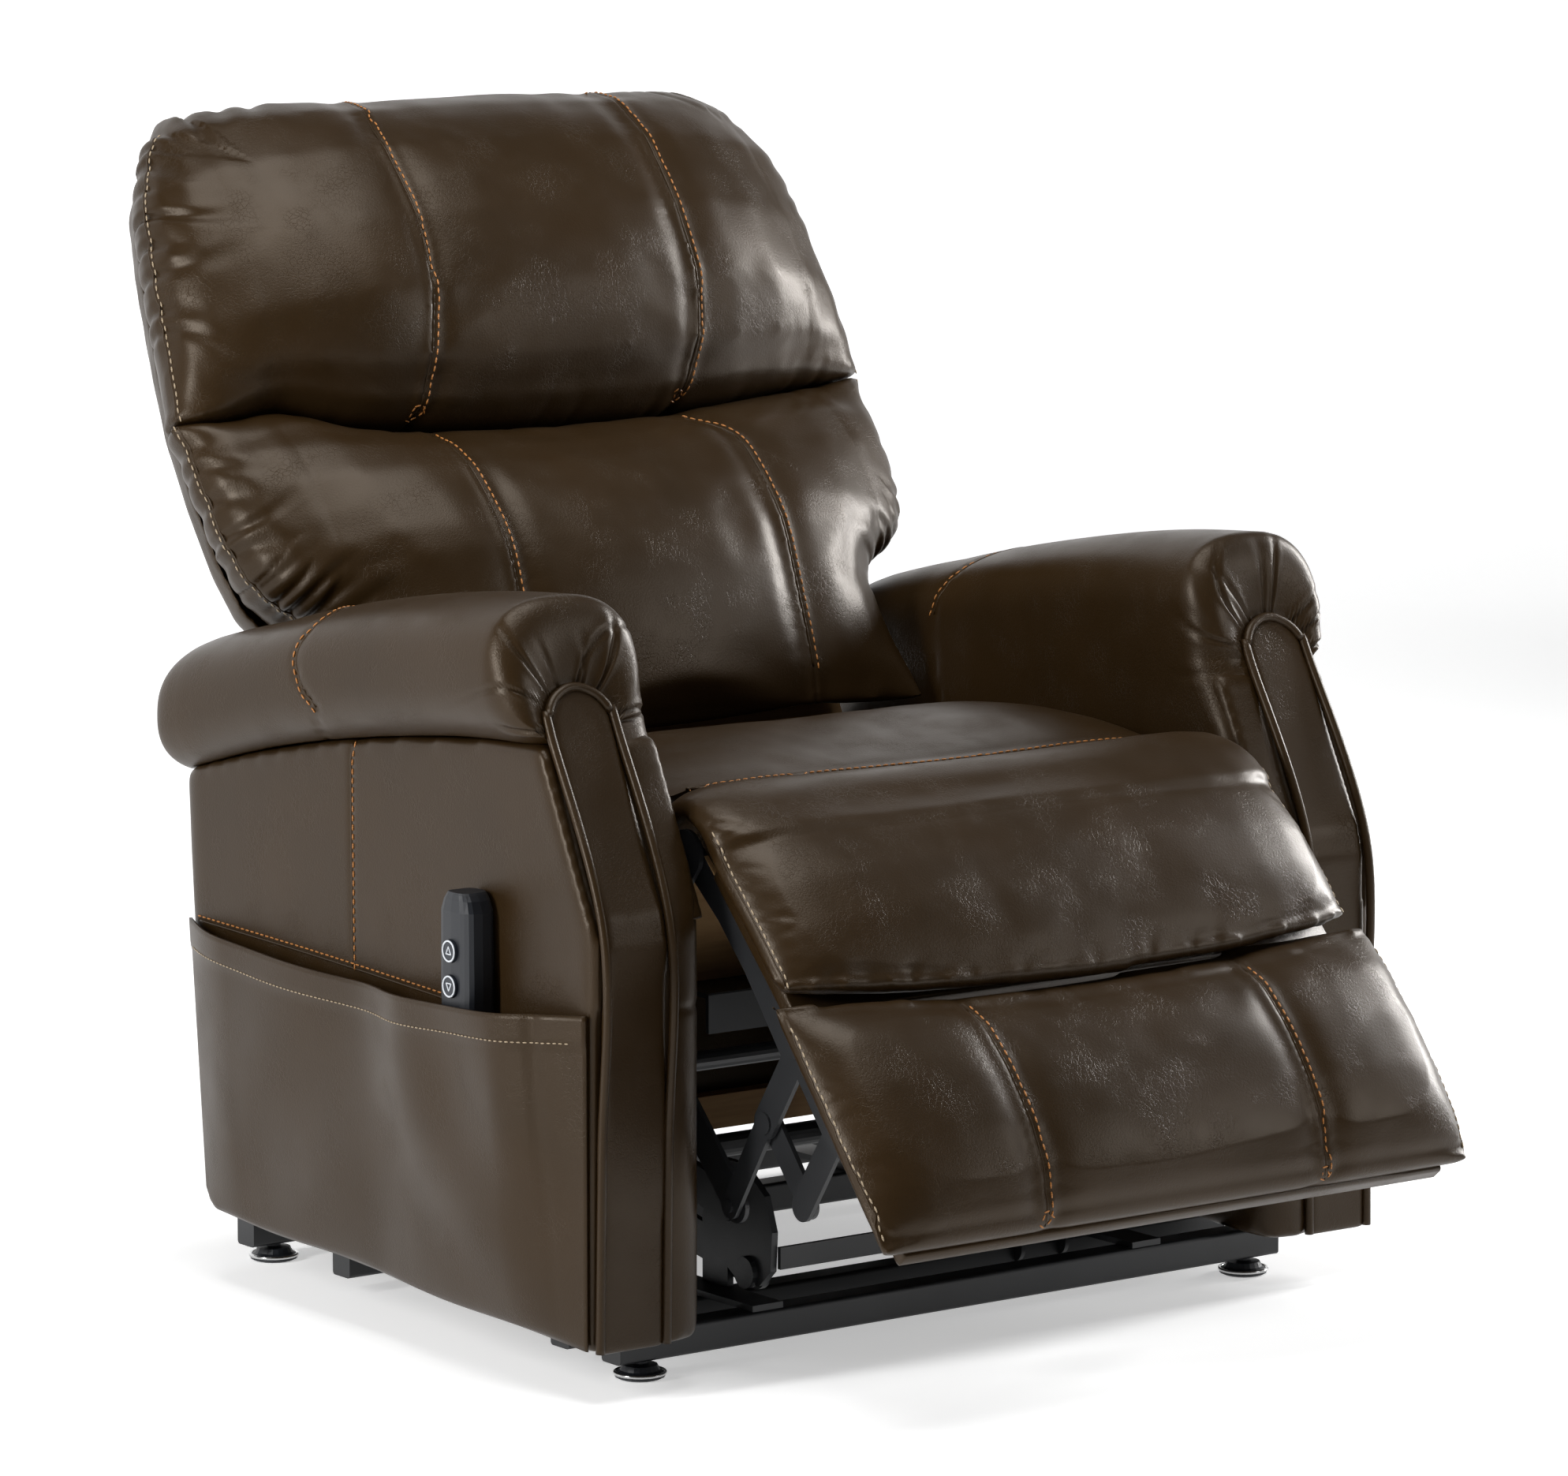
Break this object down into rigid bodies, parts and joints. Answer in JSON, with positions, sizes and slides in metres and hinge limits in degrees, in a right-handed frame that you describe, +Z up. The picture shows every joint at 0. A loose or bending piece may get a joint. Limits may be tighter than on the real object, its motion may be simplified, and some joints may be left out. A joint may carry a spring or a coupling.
{
  "type": "lift recliner chair",
  "caption": "Upholstered power lift recliner with rolled arms, padded back, folding footrest, side pocket with handset, and a lifting steel floor frame.",
  "frame": {"origin": "on the floor, below the middle of the chair's footprint in the drawn half-reclined pose", "axes": "+Z up, -Y the way the sitter faces, +X the sitter's left"},
  "size_m": [0.8556, 1.0951, 0.9738],
  "materials": {
    "leather": "glossy dark brown with tan stitching",
    "black_steel": "satin black paint",
    "wood": "raw, unvarnished",
    "black_plastic": "fine matt grain",
    "button_plastic": "matt with a pale printed ring",
    "bright_steel": "bright drawn steel"
  },
  "bodies": {
    "base": {"base_front_tube": "black_steel", "base_second_tube": "black_steel", "base_mid_tube": "black_steel", "base_rear_tube": "black_steel", "base_side_left": "black_steel", "base_side_right": "black_steel", "post_cross_bar": "black_steel", "glide_front_left": "black_plastic", "glide_front_right": "black_plastic", "glide_rear_left": "black_plastic", "glide_rear_right": "black_plastic"},
    "lower_arms": {"lower_lift_arm_left": "black_steel", "lower_lift_arm_right": "black_steel", "lift_arm_cross_tube": "black_steel"},
    "upper_arms": {"upper_lift_arm_left": "black_steel", "upper_lift_arm_right": "black_steel"},
    "actuator_body": {"actuator_motor": "black_plastic", "actuator_tube": "black_steel"},
    "actuator_rod_end": {"actuator_rod": "bright_steel"},
    "carriage": {"carrier_front_tube": "black_steel", "carrier_mid_tube": "black_steel", "carrier_rear_tube": "black_steel", "lift_plate_left": "black_steel", "lift_plate_right": "black_steel", "side_plate_left": "black_steel", "side_plate_right": "black_steel", "front_cross_bar": "black_steel", "seat_frame": "wood", "rear_rail": "wood", "seat_cushion": "leather", "arm_body_left": "leather", "arm_body_right": "leather", "arm_front_panel_left": "leather", "arm_front_panel_right": "leather", "arm_roll_left": "leather", "arm_roll_right": "leather", "side_pocket": "leather", "rear_skirt": "leather"},
    "back": {"back_frame": "wood", "back_cover": "leather", "lumbar_pillow": "leather", "head_pillow": "leather"},
    "chaise": {"chaise_board": "wood", "chaise_pad": "leather"},
    "ottoman": {"ottoman_board": "wood", "ottoman_pad": "leather"},
    "drive_links": {"drive_link_left": "black_steel", "drive_link_right": "black_steel", "footrest_torque_tube": "black_steel"},
    "boomerang_links": {"boomerang_link_left": "black_steel", "boomerang_link_right": "black_steel"},
    "v_links": {"v_link_left": "black_steel", "v_link_right": "black_steel"},
    "toggle_links": {"toggle_link_left": "black_steel", "toggle_link_right": "black_steel"},
    "handset_body": {"handset": "black_plastic"},
    "up_button": {"button_up": "button_plastic"},
    "down_button": {"button_down": "button_plastic"}
  },
  "joints": [
    {"name": "lift", "type": "hinge", "parent": "base", "child": "lower_arms", "pos_m": [0, -0.23, 0.063], "axis": [1, 0, 0], "range_deg": [0, 46]},
    {"name": "carriage_tilt", "type": "hinge", "parent": "lower_arms", "child": "carriage", "pos_m": [0, 0.082, 0.12], "axis": [1, 0, 0], "range_deg": [-27.7, 1]},
    {"name": "upper_arm_swing", "type": "hinge", "parent": "base", "child": "upper_arms", "pos_m": [0, -0.203, 0.115], "axis": [1, 0, 0], "range_deg": [-1, 42.6]},
    {"name": "actuator_swing", "type": "hinge", "parent": "base", "child": "actuator_body", "pos_m": [0, -0.198, 0.0504], "axis": [1, 0, 0], "range_deg": [-1, 41.5]},
    {"name": "actuator_stroke", "type": "slide", "parent": "actuator_body", "child": "actuator_rod_end", "axis": [0, 0.7756, 0.6312], "range_m": [-0.001, 0.08]},
    {"name": "recline", "type": "hinge", "parent": "carriage", "child": "back", "pos_m": [0, 0.257, 0.4], "axis": [-1, 0, 0], "range_deg": [-8, 27]},
    {"name": "footrest", "type": "hinge", "parent": "carriage", "child": "chaise", "pos_m": [0, -0.27, 0.415], "axis": [-1, 0, 0], "range_deg": [-30, 38]},
    {"name": "ottoman_fold", "type": "hinge", "parent": "chaise", "child": "ottoman", "pos_m": [0, -0.398, 0.282], "axis": [-1, 0, 0], "range_deg": [-10, 12.4]},
    {"name": "drive_link_swing", "type": "hinge", "parent": "carriage", "child": "drive_links", "pos_m": [0, -0.178, 0.272], "axis": [-1, 0, 0], "range_deg": [-31, 39]},
    {"name": "boomerang_swing", "type": "hinge", "parent": "drive_links", "child": "boomerang_links", "pos_m": [0, -0.306, 0.139], "axis": [-1, 0, 0], "range_deg": [-39, 31]},
    {"name": "v_link_swing", "type": "hinge", "parent": "boomerang_links", "child": "v_links", "pos_m": [0, -0.352, 0.213], "axis": [-1, 0, 0], "range_deg": [-40, 50.4]},
    {"name": "toggle_swing", "type": "hinge", "parent": "v_links", "child": "toggle_links", "pos_m": [0, -0.4, 0.15498], "axis": [-1, 0, 0], "range_deg": [-50.4, 40]},
    {"name": "handset_lift", "type": "slide", "parent": "carriage", "child": "handset_body", "axis": [0, 0, 1], "range_m": [0, 0.1]},
    {"name": "up_press", "type": "slide", "parent": "handset_body", "child": "up_button", "axis": [1, 0, 0], "range_m": [0, 0.0012], "stiffness_N_per_m": 900, "springref_m": -0.0002},
    {"name": "down_press", "type": "slide", "parent": "handset_body", "child": "down_button", "axis": [1, 0, 0], "range_m": [0, 0.0012], "stiffness_N_per_m": 900, "springref_m": -0.0002}
  ],
  "couplings": [
    {"joint": "carriage_tilt", "follows": "lift", "ratio": -0.5795},
    {"joint": "upper_arm_swing", "follows": "lift", "ratio": 0.9051},
    {"joint": "actuator_swing", "follows": "lift", "ratio": 0.8795},
    {"joint": "actuator_stroke", "follows": "lift", "m_per_rad": 0.09688},
    {"joint": "ottoman_fold", "follows": "footrest", "ratio": 0.3},
    {"joint": "drive_link_swing", "follows": "footrest", "ratio": 1},
    {"joint": "boomerang_swing", "follows": "footrest", "ratio": -1},
    {"joint": "v_link_swing", "follows": "footrest", "ratio": 1.3},
    {"joint": "toggle_swing", "follows": "footrest", "ratio": -1.3}
  ]
}
